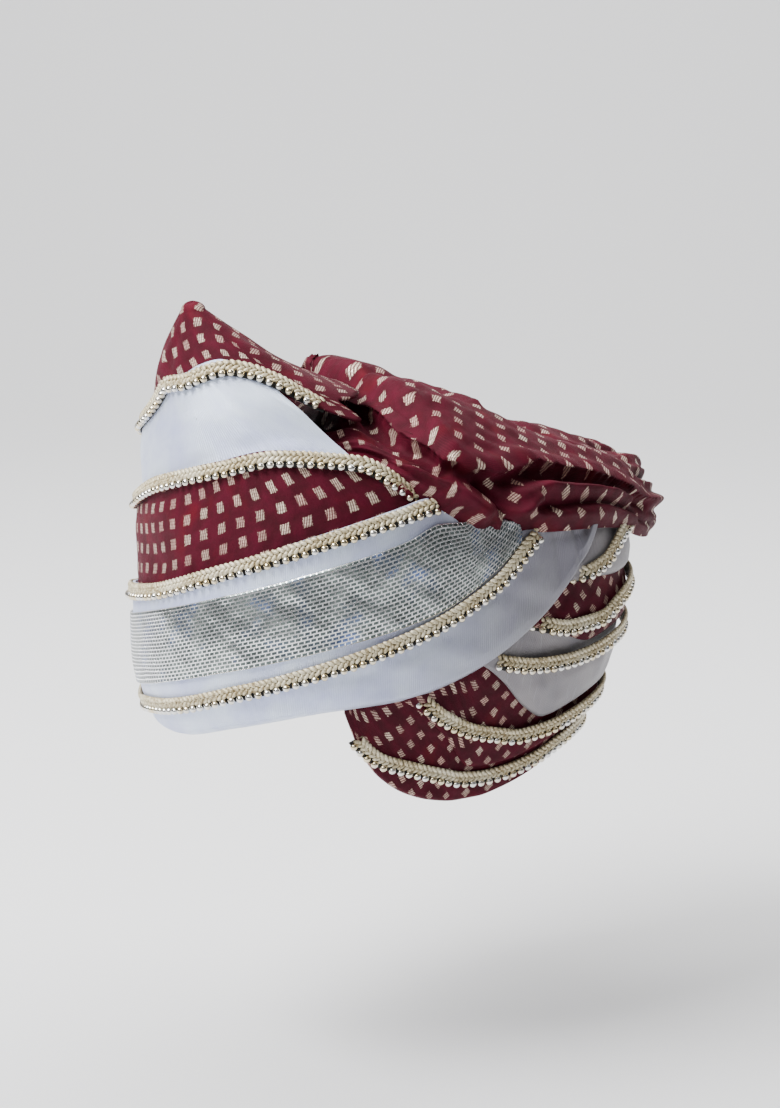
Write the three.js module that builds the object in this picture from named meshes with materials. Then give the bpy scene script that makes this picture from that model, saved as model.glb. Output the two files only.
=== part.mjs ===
import * as THREE from 'three';

// A pre-tied pagri in millimetres. Up is +Z, the front faces -Y and the wearer's left is +X.
// The origin is the middle of the head opening at the height of the brow.
// A turn is an angle round the head in degrees, from the front towards the wearer's left.
const clothThickness = 1.5;
const lapLift = 2.2;
const rimLift = 4.7;
const lapDepth = 8;
const lapShare = 0.3;
const lapMargin = 1;
const braidWidth = 4.8;
const braidThickness = 1.7;
const beadDiameter = 2.8;
const meshThickness = 0.9;
const crownThickness = 6;
const crownEdgeThickness = 2.6;
const planFullness = 2.3;
const frontRidgeShare = 0.02;
const frontRidgeTurn = 4;
const frontRidgeSpread = 13;
const silverEndSlant = 18;
const silverEndTurn = 60;
const peakApex = 186.5;
const peakRowEase = 0.8;
const peakLapFrom = -62;
const peakLapTo = 79;
const crownArchFullness = 0.8;
const longestCrownStep = 11;
const laceEdge = 3.5;
const napeLap = 6;
const napeTop = 92;
const laceGap = 0.7;
const ribbonGap = 0.6;
const farFlapRise = 14;
const lastTurn = 360;

// Plan of the wrapped form: how far it reaches to each side, to the front and to the back of its centre.
const formSections = [
  { height: -50, centre: 0, side: 59, front: 92, back: 67 },
  { height: -20, centre: 0, side: 68, front: 99, back: 78 },
  { height: 0, centre: 0, side: 74, front: 106, back: 85 },
  { height: 15, centre: 0, side: 79, front: 113, back: 92 },
  { height: 30, centre: 0, side: 83, front: 117, back: 98 },
  { height: 50, centre: 0, side: 86, front: 118, back: 102 },
  { height: 80, centre: 0, side: 87, front: 116, back: 103 },
  { height: 105, centre: -4, side: 85, front: 110, back: 98 },
  { height: 125, centre: -22, side: 76, front: 91, back: 75 },
  { height: 145, centre: -52, side: 57, front: 59, back: 32 },
  { height: 155, centre: -71, side: 45, front: 40, back: 21 },
  { height: 165, centre: -86, side: 33, front: 24, back: 15 },
  { height: 176, centre: -97, side: 18, front: 11, back: 11 },
  { height: 187, centre: -103, side: 4, front: 3, back: 3 },
];

// Heights of the rim, the laces and the mesh ribbon's two edges round the front fan.
const fanStations = [
  { turn: -125, rim: 88, lace4: 93, meshLow: 94, meshTop: 95, lace3: 96, lace2: 98, lace1: 102 },
  { turn: -110, rim: 64, lace4: 77, meshLow: 82, meshTop: 86, lace3: 91, lace2: 98, lace1: 103 },
  { turn: -95, rim: 40, lace4: 56, meshLow: 62, meshTop: 70, lace3: 78, lace2: 94, lace1: 105 },
  { turn: -80, rim: 20, lace4: 37, meshLow: 44, meshTop: 57, lace3: 65, lace2: 88, lace1: 108 },
  { turn: -60, rim: 9, lace4: 24, meshLow: 31, meshTop: 47, lace3: 55, lace2: 86, lace1: 113 },
  { turn: -40, rim: 4, lace4: 15, meshLow: 22, meshTop: 43, lace3: 52, lace2: 90, lace1: 124 },
  { turn: -20, rim: 1, lace4: 12, meshLow: 20, meshTop: 48, lace3: 58, lace2: 98, lace1: 137 },
  { turn: 0, rim: 3, lace4: 18, meshLow: 27, meshTop: 58, lace3: 66, lace2: 113, lace1: 155 },
  { turn: 20, rim: 13, lace4: 29, meshLow: 39, meshTop: 71, lace3: 81, lace2: 123, lace1: 158 },
  { turn: 40, rim: 22, lace4: 42, meshLow: 50, meshTop: 84, lace3: 95, lace2: 129, lace1: 162 },
  { turn: 60, rim: 26, lace4: 54, meshLow: 60, meshTop: 95, lace3: 105, lace2: 126, lace1: 164 },
  { turn: 70, rim: 30, lace4: 61, meshLow: 66, meshTop: 101, lace3: 108, lace2: 109, lace1: 162 },
  { turn: 85, rim: 39, lace4: 74, meshLow: 80, meshTop: 100, lace3: 102, lace2: 109, lace1: 144 },
  { turn: 100, rim: 53, lace4: 91, meshLow: 94, meshTop: 97, lace3: 98, lace2: 109, lace1: 140 },
  { turn: 112, rim: 70, lace4: 94, meshLow: 95, meshTop: 96, lace3: 97, lace2: 109, lace1: 140 },
  { turn: 123, rim: 90, lace4: 94, meshLow: 95, meshTop: 96, lace3: 97, lace2: 109, lace1: 140 },
];

// Heights of the nape rim and laces, alike on both sides: side is the turn, or 360 less the turn.
const napeStations = [
  { side: 44, rim: 20, laceA: 15, laceB: 40, laceC: 50, laceD: 62, laceE: 70 },
  { side: 47, rim: 0, laceA: 5, laceB: 39, laceC: 50, laceD: 62, laceE: 70 },
  { side: 52, rim: -13, laceA: -3, laceB: 35, laceC: 50, laceD: 62, laceE: 70 },
  { side: 60, rim: -22, laceA: -8, laceB: 29, laceC: 48, laceD: 62, laceE: 70 },
  { side: 70, rim: -27, laceA: -13, laceB: 16, laceC: 44, laceD: 60, laceE: 70 },
  { side: 80, rim: -29, laceA: -17, laceB: 8, laceC: 41, laceD: 58, laceE: 70 },
  { side: 90, rim: -29, laceA: -18, laceB: 4, laceC: 37, laceD: 56, laceE: 70 },
  { side: 100, rim: -27, laceA: -17, laceB: 1, laceC: 34, laceD: 52, laceE: 70 },
  { side: 112, rim: -23, laceA: -14, laceB: 2, laceC: 33, laceD: 48, laceE: 70 },
  { side: 124, rim: -17, laceA: -9, laceB: 5, laceC: 34, laceD: 48, laceE: 73 },
  { side: 135, rim: -14, laceA: -6, laceB: 8, laceC: 36, laceD: 53, laceE: 83 },
  { side: 150, rim: -13, laceA: -5, laceB: 10, laceC: 38, laceD: 57, laceE: 87 },
  { side: 180, rim: -12, laceA: -4, laceB: 11, laceC: 39, laceD: 59, laceE: 87 },
];

// Lower edges of the upper nape bands, each falling steeply until it runs along the lace below it.
const napeEdges = [
  { side: 56, lowB: 28, lowC: 50, lowD: 60, lowE: 80 },
  { side: 62, lowB: 21, lowC: 48, lowD: 60, lowE: 80 },
  { side: 71, lowB: 7, lowC: 44, lowD: 58, lowE: 80 },
  { side: 82, lowB: -11, lowC: 37, lowD: 56, lowE: 78 },
  { side: 89, lowB: -12, lowC: 29, lowD: 54, lowE: 75 },
  { side: 100, lowB: -11, lowC: 14, lowD: 50, lowE: 70 },
  { side: 110, lowB: -8, lowC: 7, lowD: 45, lowE: 68 },
  { side: 122, lowB: -4, lowC: 10, lowD: 39, lowE: 67 },
  { side: 135, lowB: 0, lowC: 13, lowD: 41, lowE: 65 },
  { side: 180, lowB: 2, lowC: 16, lowD: 44, lowE: 64 },
];

// Arches of the crown cloth from the front to the back, each from its near edge over the top.
const crownArches = [
  { run: -76, near: 20, nearHeight: 130, top: 136, far: -20, farHeight: 130 },
  { run: -66, near: 50, nearHeight: 126, top: 138, far: -50, farHeight: 125 },
  { run: -58, near: 64, nearHeight: 125, top: 140, far: -64, farHeight: 122 },
  { run: -53, near: 75, nearHeight: 122, top: 141, far: -75, farHeight: 120 },
  { run: -47, near: 84, nearHeight: 118, top: 142, far: -84, farHeight: 119 },
  { run: -40, near: 90, nearHeight: 112, top: 143, far: -90, farHeight: 111 },
  { run: -34, near: 94, nearHeight: 107, top: 146, far: -94, farHeight: 107 },
  { run: -27, near: 96, nearHeight: 103, top: 156, far: -96, farHeight: 104 },
  { run: -20, near: 97, nearHeight: 100, top: 156, far: -97, farHeight: 101 },
  { run: -8, near: 98, nearHeight: 98, top: 150, far: -98, farHeight: 98 },
  { run: 15, near: 98, nearHeight: 94, top: 141, far: -98, farHeight: 94 },
  { run: 40, near: 94, nearHeight: 92, top: 129, far: -93, farHeight: 91 },
  { run: 70, near: 82, nearHeight: 87, top: 120, far: -82, farHeight: 86 },
  { run: 98, near: 62, nearHeight: 76, top: 111, far: -62, farHeight: 76 },
  { run: 116, near: 42, nearHeight: 73, top: 106, far: -42, farHeight: 74 },
  { run: 125, near: 22, nearHeight: 77, top: 96, far: -22, farHeight: 77 },
  { run: 128, near: 10, nearHeight: 82, top: 89, far: -10, farHeight: 82 },
];

// The hollow on the far side of the crown cloth, just behind the peak.
const frontHollow = { depth: 12, angle: 122, angleSpread: 17, run: -26, runSpread: 20 };

// Lengthwise folds of the crown cloth: where the arch angle of each starts and ends, and its shape.
const crownFolds = [
  { start: 12, end: 12, rise: 3, spread: 9 },
  { start: 34, end: 26, rise: -8, spread: 7 },
  { start: 52, end: 40, rise: 5, spread: 10 },
  { start: 74, end: 66, rise: -4, spread: 7 },
  { start: 92, end: 88, rise: 4, spread: 10 },
  { start: 112, end: 110, rise: -4, spread: 7 },
  { start: 132, end: 134, rise: 4, spread: 10 },
  { start: 152, end: 156, rise: -5, spread: 7 },
  { start: 168, end: 170, rise: 3, spread: 8 },
];

const colours = {
  maroon: 0x73243d,
  silver: 0xc9cfe8,
  mesh: 0xb8bcc4,
  lace: 0xd9cfae,
};

// A smooth curve through one column of a table.
function columnAt(rows, key, column, place) {
  const last = rows.length - 1;
  const here = THREE.MathUtils.clamp(place, rows[0][key], rows[last][key]);
  let index = 0;
  while (index < last - 1 && rows[index + 1][key] < here) index += 1;
  const width = rows[index + 1][key] - rows[index][key];
  const slope = (row) => (rows[row + 1][column] - rows[row][column]) / (rows[row + 1][key] - rows[row][key]);
  const chord = slope(index);
  const easedSlope = (before, after) => (before * after <= 0 ? 0 : (2 * before * after) / (before + after));
  const startSlope = index > 0 ? easedSlope(slope(index - 1), chord) : chord;
  const endSlope = index < last - 1 ? easedSlope(chord, slope(index + 1)) : chord;
  const t = (here - rows[index][key]) / width;
  const a = rows[index][column];
  const b = rows[index + 1][column];
  return (
    a * (1 + 2 * t) * (1 - t) ** 2 +
    b * t * t * (3 - 2 * t) +
    width * (startSlope * t * (1 - t) ** 2 - endSlope * t * t * (1 - t))
  );
}

const bump = (away, spread) => Math.exp(-((away / spread) ** 2));
const formAt = (column, height) => columnAt(formSections, 'height', column, height);
const fanAt = (column, turn) => columnAt(fanStations, 'turn', column, turn);
const sideOf = (turn) => (turn > lastTurn / 2 ? lastTurn - turn : turn);

// The far side of the flap hangs less low than the near one.
function farRaised(height, turn) {
  const farShare = THREE.MathUtils.smoothstep(turn, 180, 240);
  const lowShare = THREE.MathUtils.clamp((40 - height) / 60, 0, 1);
  return height + farFlapRise * farShare * lowShare;
}

const napeAt = (column, turn) => farRaised(columnAt(napeStations, 'side', column, sideOf(turn)), turn);
const napeEdgeAt = (column, turn) => farRaised(columnAt(napeEdges, 'side', column, sideOf(turn)), turn);

function formPoint(turn, height) {
  const angle = THREE.MathUtils.degToRad(turn);
  const along = Math.cos(angle);
  const across = Math.sin(angle);
  const reach = formAt(along > 0 ? 'front' : 'back', height);
  const sum = Math.abs(across / formAt('side', height)) ** planFullness + Math.abs(along / reach) ** planFullness;
  const away = THREE.MathUtils.euclideanModulo(turn - frontRidgeTurn + 180, lastTurn) - 180;
  const ridge = 1 + frontRidgeShare * bump(away, frontRidgeSpread);
  const radius = ridge * sum ** (-1 / planFullness);
  return new THREE.Vector3(radius * across, formAt('centre', height) - radius * along, height);
}

function formNormal(turn, height) {
  const step = 0.5;
  const round = formPoint(turn + step, height).sub(formPoint(turn - step, height));
  const rise = formPoint(turn, height + step).sub(formPoint(turn, height - step));
  return round.cross(rise).normalize();
}

const liftedPoint = (turn, height, lift) =>
  formPoint(turn, height).addScaledVector(formNormal(turn, height), lift);

function flipIfInsideOut(positions, faces) {
  const [a, b, c] = [new THREE.Vector3(), new THREE.Vector3(), new THREE.Vector3()];
  let volume = 0;
  for (const [i, j, k] of faces) {
    volume += a.copy(positions[i]).dot(b.copy(positions[j]).cross(c.copy(positions[k])));
  }
  return volume < 0 ? faces.map(([i, j, k]) => [i, k, j]) : faces;
}

function solidGeometry(positions, faces) {
  const geometry = new THREE.BufferGeometry();
  geometry.setAttribute('position', new THREE.Float32BufferAttribute(positions.flatMap((p) => p.toArray()), 3));
  geometry.setIndex(flipIfInsideOut(positions, faces).flat());
  geometry.computeVertexNormals();
  return geometry;
}

// One closed wall between an outer and an inner sheet of points, rows of equal length.
function wallGeometry(outer, inner) {
  const rowCount = outer.length;
  const size = outer[0].length;
  const at = (sheet, row, column) => (sheet * rowCount + row) * size + column;
  const faces = [];
  const quad = (a, b, c, d) => faces.push([a, b, c], [a, c, d]);
  const [endRow, endColumn] = [rowCount - 1, size - 1];
  for (let row = 0; row < endRow; row += 1) {
    for (let column = 0; column < endColumn; column += 1) {
      quad(at(0, row, column), at(0, row + 1, column), at(0, row + 1, column + 1), at(0, row, column + 1));
      quad(at(1, row, column), at(1, row, column + 1), at(1, row + 1, column + 1), at(1, row + 1, column));
    }
    quad(at(0, row, 0), at(1, row, 0), at(1, row + 1, 0), at(0, row + 1, 0));
    quad(at(0, row, endColumn), at(0, row + 1, endColumn), at(1, row + 1, endColumn), at(1, row, endColumn));
  }
  for (let column = 0; column < endColumn; column += 1) {
    quad(at(0, 0, column), at(0, 0, column + 1), at(1, 0, column + 1), at(1, 0, column));
    quad(at(0, endRow, column), at(1, endRow, column), at(1, endRow, column + 1), at(0, endRow, column + 1));
  }
  return solidGeometry([...outer.flat(), ...inner.flat()], faces);
}

function evenSteps(from, to, count) {
  return Array.from({ length: count + 1 }, (_, step) => from + ((to - from) * step) / count);
}

// A cloth band round the form. Its profile gives pairs of height and lift at a turn, from low to high.
function bandGeometry(turns, profileAt, slant = (turn) => turn) {
  const sheet = (extra) =>
    turns.map((middleTurn) => {
      const size = profileAt(middleTurn).length;
      return evenSteps(0, 1, size - 1).map((share, index) => {
        const turn = slant(middleTurn, share);
        const [height, lift] = profileAt(turn)[index];
        return liftedPoint(turn, height, lift + extra);
      });
    });
  return wallGeometry(sheet(clothThickness), sheet(0));
}

// Cross-section of a lace: a flat braid with a row of beads sewn along its lower edge.
const laceSection = [
  [-beadDiameter, beadDiameter / 2],
  [-0.75 * beadDiameter, 0.95 * beadDiameter],
  [-0.25 * beadDiameter, 0.95 * beadDiameter],
  [0, braidThickness],
  [braidWidth, braidThickness],
  [braidWidth, 0],
  [-0.75 * beadDiameter, 0],
];

function laceGeometry({ turns, middle, lift }) {
  const sectionAt = (turn) => {
    const step = 0.5;
    const start = liftedPoint(turn - step, middle(turn - step), lift(turn));
    const along = liftedPoint(turn + step, middle(turn + step), lift(turn)).sub(start).normalize();
    const out = formNormal(turn, middle(turn));
    const up = out.clone().cross(along).normalize();
    const seat = liftedPoint(turn, middle(turn), lift(turn)).addScaledVector(up, (beadDiameter - braidWidth) / 2);
    return laceSection.map(([across, height]) =>
      seat.clone().addScaledVector(up, across).addScaledVector(out, height),
    );
  };
  const rings = turns.map(sectionAt);
  const size = laceSection.length;
  const faces = [];
  for (let row = 0; row < rings.length - 1; row += 1) {
    for (let side = 0; side < size; side += 1) {
      const next = (side + 1) % size;
      const [a, b] = [row * size + side, row * size + next];
      faces.push([a, b, b + size], [a, b + size, a + size]);
    }
  }
  const corner = size - 1;
  const last = (rings.length - 1) * size;
  for (let side = 0; side < corner - 1; side += 1) {
    faces.push([corner, side + 1, side], [last + corner, last + side, last + side + 1]);
  }
  return solidGeometry(rings.flat(), faces);
}

function clothMaterial(color, roughness, metalness) {
  return new THREE.MeshStandardMaterial({ color, roughness, metalness });
}

const maroonCloth = () => clothMaterial(colours.maroon, 0.8, 0);
const silverCloth = () => clothMaterial(colours.silver, 0.45, 0.2);
const laceMaterial = () => clothMaterial(colours.lace, 0.5, 0.4);

function namedMesh(name, geometry, material) {
  const mesh = new THREE.Mesh(geometry, material);
  mesh.name = name;
  return mesh;
}

// The cap of the peak reaches down to lace 1 on the fan and stops above the crown cloth at the back.
const peakBackEdge = [
  { side: 62, height: 146 },
  { side: 84, height: 151 },
  { side: 110, height: 151 },
  { side: 180, height: 151 },
];

function peakLow(turn) {
  const away = Math.abs(turn);
  if (turn > peakLapFrom && turn < peakLapTo) return fanAt('lace1', turn) - lapDepth;
  return columnAt(peakBackEdge, 'side', 'height', away);
}

function peakWrap() {
  const turns = [...evenSteps(-176, -66, 10), ...evenSteps(-61.9, 78, 20), ...evenSteps(84, 174, 9)];
  const sheet = (lift) =>
    turns.map((turn) =>
      evenSteps(0, 1, 6).map((share) =>
        liftedPoint(turn, THREE.MathUtils.lerp(peakLow(turn), peakApex, share ** peakRowEase), lift),
      ),
    );
  const outer = sheet(clothThickness);
  const inner = sheet(0);
  return namedMesh('peak_wrap', cappedRing(outer, inner), maroonCloth());
}

// A hollow cap: two rings of rising columns, each closed by one point at the top.
function cappedRing(outer, inner) {
  const count = outer.length;
  const size = outer[0].length;
  const top = size - 1;
  const centreOf = (sheet) =>
    sheet.reduce((sum, column) => sum.add(column[top]), new THREE.Vector3()).divideScalar(count);
  const positions = [...outer.flat(), ...inner.flat(), centreOf(outer), centreOf(inner)];
  const at = (sheet, column, row) => (sheet * count + (column % count)) * size + row;
  const outerTop = 2 * count * size;
  const faces = [];
  const quad = (a, b, c, d) => faces.push([a, b, c], [a, c, d]);
  for (let column = 0; column < count; column += 1) {
    for (let row = 0; row < top; row += 1) {
      quad(at(0, column, row), at(0, column + 1, row), at(0, column + 1, row + 1), at(0, column, row + 1));
      quad(at(1, column, row), at(1, column, row + 1), at(1, column + 1, row + 1), at(1, column + 1, row));
    }
    quad(at(0, column, 0), at(1, column, 0), at(1, column + 1, 0), at(0, column + 1, 0));
    faces.push([at(0, column, top), at(0, column + 1, top), outerTop]);
    faces.push([at(1, column + 1, top), at(1, column, top), outerTop + 1]);
  }
  return solidGeometry(positions, faces);
}

// How far a fan band reaches down under the band below it, less where the two laces come together.
const laceApart = (lower, upper, turn) => fanAt(upper, turn) - fanAt(lower, turn);
const silverLap = (turn) => {
  const room = laceApart('lace3', 'lace2', turn) / 2 - laceEdge;
  return Math.min(lapDepth, lapShare * laceApart('lace2', 'lace1', turn), room);
};
const maroonLap = (turn) => Math.min(lapDepth, lapShare * laceApart('lace3', 'lace2', turn));

// A fan band lies on the form below and laps over the band above it near its own upper lace.
function fanProfile(lower, lowerLap, upper, upperLap) {
  return (turn) => {
    const low = fanAt(lower, turn) - lowerLap(turn);
    const high = fanAt(upper, turn) + laceEdge;
    const flatTo = fanAt(lower, turn) + laceEdge + lapMargin;
    const lappedFrom = Math.max(flatTo + lapMargin, fanAt(upper, turn) - upperLap(turn) - lapMargin);
    const waist = THREE.MathUtils.lerp(flatTo, lappedFrom, 0.5);
    return [[low, 0], [flatTo, 0], [waist, lapLift / 2], [lappedFrom, lapLift], [high, lapLift]];
  };
}

// The outermost band stands off the nape bands at its rim and lies close again at lace 3.
function frontSilverLift(turn, height) {
  const start = fanAt('rim', turn) + lapDepth;
  const end = Math.max(start + 1, fanAt('lace3', turn) - lapDepth - lapMargin);
  return THREE.MathUtils.lerp(rimLift, lapLift, THREE.MathUtils.clamp((height - start) / (end - start), 0, 1));
}

function frontSilverProfile(turn) {
  const rim = fanAt('rim', turn);
  const edge = fanAt('lace3', turn) + laceEdge;
  const heights = evenSteps(rim, edge, 6);
  return heights.map((height) => [height, frontSilverLift(turn, height)]);
}

function frontWraps() {
  const silver = bandGeometry(
    evenSteps(-88, silverEndTurn, 25),
    fanProfile('lace2', silverLap, 'lace1', () => lapDepth),
    (turn, share) => turn + silverEndSlant * Math.max(0, turn / silverEndTurn) ** 2 * share ** 3,
  );
  const maroonTurns = [...evenSteps(-102, 54, 24), ...evenSteps(57, 66, 3)];
  const maroon = bandGeometry(maroonTurns, fanProfile('lace3', maroonLap, 'lace2', silverLap));
  const frontSilver = bandGeometry([...evenSteps(-124, 100, 34), ...evenSteps(104, 122, 5)], frontSilverProfile);
  return [
    namedMesh('silver_wrap', silver, silverCloth()),
    namedMesh('maroon_wrap', maroon, maroonCloth()),
    namedMesh('front_silver_wrap', frontSilver, silverCloth()),
  ];
}

function meshRibbon() {
  const turns = evenSteps(-98, 94, 29);
  const sheet = (extra) =>
    turns.map((turn) =>
      evenSteps(0, 1, 3).map((share) => {
        const height = THREE.MathUtils.lerp(fanAt('meshLow', turn), fanAt('meshTop', turn), share);
        return liftedPoint(turn, height, frontSilverLift(turn, height) + clothThickness + ribbonGap + extra);
      }),
    );
  return namedMesh(
    'mesh_ribbon',
    wallGeometry(sheet(meshThickness), sheet(0)),
    clothMaterial(colours.mesh, 0.3, 0.9),
  );
}

const lappedFace = lapLift + clothThickness + laceGap;

function frontLaces() {
  const laces = [
    { name: 'front_lace_1', from: -61, to: 76, count: 18, column: 'lace1' },
    { name: 'front_lace_2', from: -97, to: 63, count: 22, column: 'lace2' },
    { name: 'front_lace_3', from: -108, to: 69, count: 24, column: 'lace3' },
    { name: 'front_lace_4', from: -98, to: 98, count: 25, column: 'lace4', onOutermost: true },
  ];
  return laces.map(({ name, from, to, count, column, onOutermost }) => {
    const middle = (turn) => fanAt(column, turn);
    const outermostFace = (turn) => frontSilverLift(turn, middle(turn)) + clothThickness + laceGap;
    const lift = onOutermost ? outermostFace : () => lappedFace;
    return namedMesh(name, laceGeometry({ turns: evenSteps(from, to, count), middle, lift }), laceMaterial());
  });
}

// Each nape band starts under the front fan. It laps over the band below and lies flat further up.
function napeWraps() {
  const bands = [
    { name: 'nape_wrap_a', from: 44, to: 311, count: 34, low: 'rim', above: 'lowB', material: maroonCloth },
    { name: 'nape_wrap_b', from: 57, to: 292, count: 30, low: 'lowB', above: 'lowC', material: maroonCloth },
    { name: 'nape_wrap_c', from: 78, to: 275, count: 26, low: 'lowC', above: 'lowD', material: silverCloth },
    { name: 'nape_wrap_d', from: 96, to: 261, count: 22, low: 'lowD', above: 'lowE', material: maroonCloth },
    { name: 'nape_wrap_e', from: 112, to: 248, count: 18, low: 'lowE', above: null, material: silverCloth },
  ];
  const underFan = (turn) => fanAt('rim', turn > lastTurn / 2 ? turn - lastTurn : turn) + lapDepth;
  return bands.map(({ name, from, to, count, low, above, material }) => {
    const edgeLift = low === 'rim' ? 0 : lapLift;
    const profileAt = (turn) => {
      const lowEdge = low === 'rim' ? napeAt('rim', turn) : napeEdgeAt(low, turn);
      const cover = above ? napeEdgeAt(above, turn) : napeTop - napeLap;
      const highEdge = Math.min(cover + napeLap, Math.max(underFan(turn), lowEdge + 2 * napeLap));
      const lappedTo = lowEdge + napeLap + lapMargin;
      const flatFrom = Math.max(lappedTo + lapMargin, Math.min(cover, highEdge) - 2 * lapMargin);
      const waist = THREE.MathUtils.lerp(lappedTo, flatFrom, 0.5);
      return [
        [lowEdge, edgeLift],
        [lappedTo, edgeLift],
        [waist, edgeLift / 2],
        [flatFrom, 0],
        [Math.max(flatFrom + lapMargin, highEdge), 0],
      ];
    };
    return namedMesh(name, bandGeometry(evenSteps(from, to, count), profileAt), material());
  });
}

function napeLaces() {
  const laces = [
    { name: 'nape_lace_a', from: 46, to: 297, count: 31, column: 'laceA' },
    { name: 'nape_lace_b', from: 64.5, to: 280, count: 25, column: 'laceB' },
    { name: 'nape_lace_c', from: 87.5, to: 263, count: 20, column: 'laceC' },
    { name: 'nape_lace_d', from: 103, to: 254, count: 17, column: 'laceD' },
    { name: 'nape_lace_e', from: 118, to: 242, count: 14, column: 'laceE' },
  ];
  return laces.map(({ name, from, to, count, column }) => {
    const middle = (turn) => napeAt(column, turn);
    const face = column === 'laceA' ? clothThickness + laceGap : lappedFace;
    const geometry = laceGeometry({ turns: evenSteps(from, to, count), middle, lift: () => face });
    return namedMesh(name, geometry, laceMaterial());
  });
}

const crownAt = (column, run) => columnAt(crownArches, 'run', column, run);

function crownPoint(run, angle, inset) {
  const runShare = (run - crownArches[0].run) / (crownArches.at(-1).run - crownArches[0].run);
  const folds = crownFolds.reduce((sum, fold) => {
    const middle = THREE.MathUtils.lerp(fold.start, fold.end, runShare);
    return sum + fold.rise * bump(angle - middle, fold.spread);
  }, 0);
  const hollow =
    frontHollow.depth *
    bump(angle - frontHollow.angle, frontHollow.angleSpread) *
    bump(run - frontHollow.run, frontHollow.runSpread);
  const endFade = Math.sin(Math.PI * THREE.MathUtils.clamp(runShare, 0.02, 0.98)) ** 0.5;
  const radians = THREE.MathUtils.degToRad(angle);
  const across = Math.cos(radians);
  const up = Math.sin(radians);
  const side = across > 0 ? 'near' : 'far';
  const reach = Math.abs(crownAt(side, run));
  const foot = crownAt(`${side}Height`, run);
  const top = crownAt('top', run);
  const dip = hollow - folds * endFade;
  const shrink = inset > 0 ? Math.max(inset, dip + crownEdgeThickness) : dip;
  return new THREE.Vector3(
    Math.sign(across) * (reach - shrink) * Math.abs(across) ** crownArchFullness,
    run,
    foot + (top - foot - shrink) * up ** crownArchFullness,
  );
}

function crownCloth() {
  const runs = crownArches.flatMap(({ run }, index) => {
    const next = crownArches[index + 1]?.run ?? run;
    return next - run > longestCrownStep ? [run, (run + next) / 2] : [run];
  });
  const angles = evenSteps(0, 180, 27);
  const sheet = (insetAt) => runs.map((run) => angles.map((angle) => crownPoint(run, angle, insetAt(angle))));
  const inset = (angle) =>
    THREE.MathUtils.lerp(crownEdgeThickness, crownThickness, Math.sin(THREE.MathUtils.degToRad(angle)) ** 0.5);
  return namedMesh('crown_cloth', wallGeometry(sheet(() => 0), sheet(inset)), maroonCloth());
}

const pagri = new THREE.Group();
pagri.add(peakWrap(), ...frontWraps(), meshRibbon(), crownCloth());
pagri.add(...napeWraps(), ...frontLaces(), ...napeLaces());

export default pagri;
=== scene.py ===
import math

import bpy
import numpy as np
from mathutils import Matrix, Vector


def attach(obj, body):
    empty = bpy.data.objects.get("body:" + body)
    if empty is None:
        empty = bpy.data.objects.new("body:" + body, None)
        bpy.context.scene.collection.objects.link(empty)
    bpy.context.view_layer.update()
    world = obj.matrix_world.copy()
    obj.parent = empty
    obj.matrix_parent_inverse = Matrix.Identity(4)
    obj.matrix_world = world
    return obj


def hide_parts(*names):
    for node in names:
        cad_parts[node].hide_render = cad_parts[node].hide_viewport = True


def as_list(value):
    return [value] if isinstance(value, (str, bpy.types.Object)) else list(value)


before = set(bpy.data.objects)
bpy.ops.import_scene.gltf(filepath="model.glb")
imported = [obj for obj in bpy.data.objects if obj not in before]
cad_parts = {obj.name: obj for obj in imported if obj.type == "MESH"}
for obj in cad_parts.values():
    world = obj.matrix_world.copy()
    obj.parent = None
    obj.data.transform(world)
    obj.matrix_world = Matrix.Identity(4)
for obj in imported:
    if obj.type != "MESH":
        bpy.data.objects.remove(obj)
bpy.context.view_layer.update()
mm = 0.001
print("frame loaded:", len(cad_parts), "nodes")

# camera at the photo's angle: 57 degrees round from the front towards the wearer's left, 12 above level
cameraLook = {"turn": 57, "rise": 12, "distance": 1.4, "target": (0, 0, 0.080), "lens": 101.08,
              "shift": (-0.0054, -0.0234), "clipEnd": 20}


def addCamera(look):
    turn, rise = math.radians(look["turn"]), math.radians(look["rise"])
    back = Vector((math.sin(turn) * math.cos(rise), -math.cos(turn) * math.cos(rise), math.sin(rise)))
    bpy.ops.object.camera_add(location=Vector(look["target"]) + back * look["distance"])
    camera = bpy.context.object
    camera.rotation_euler = (-back).to_track_quat("-Z", "Y").to_euler()
    camera.data.lens = look["lens"]
    camera.data.shift_x, camera.data.shift_y = look["shift"]
    camera.data.clip_end = look["clipEnd"]
    bpy.context.scene.camera = camera


addCamera(cameraLook)

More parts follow.
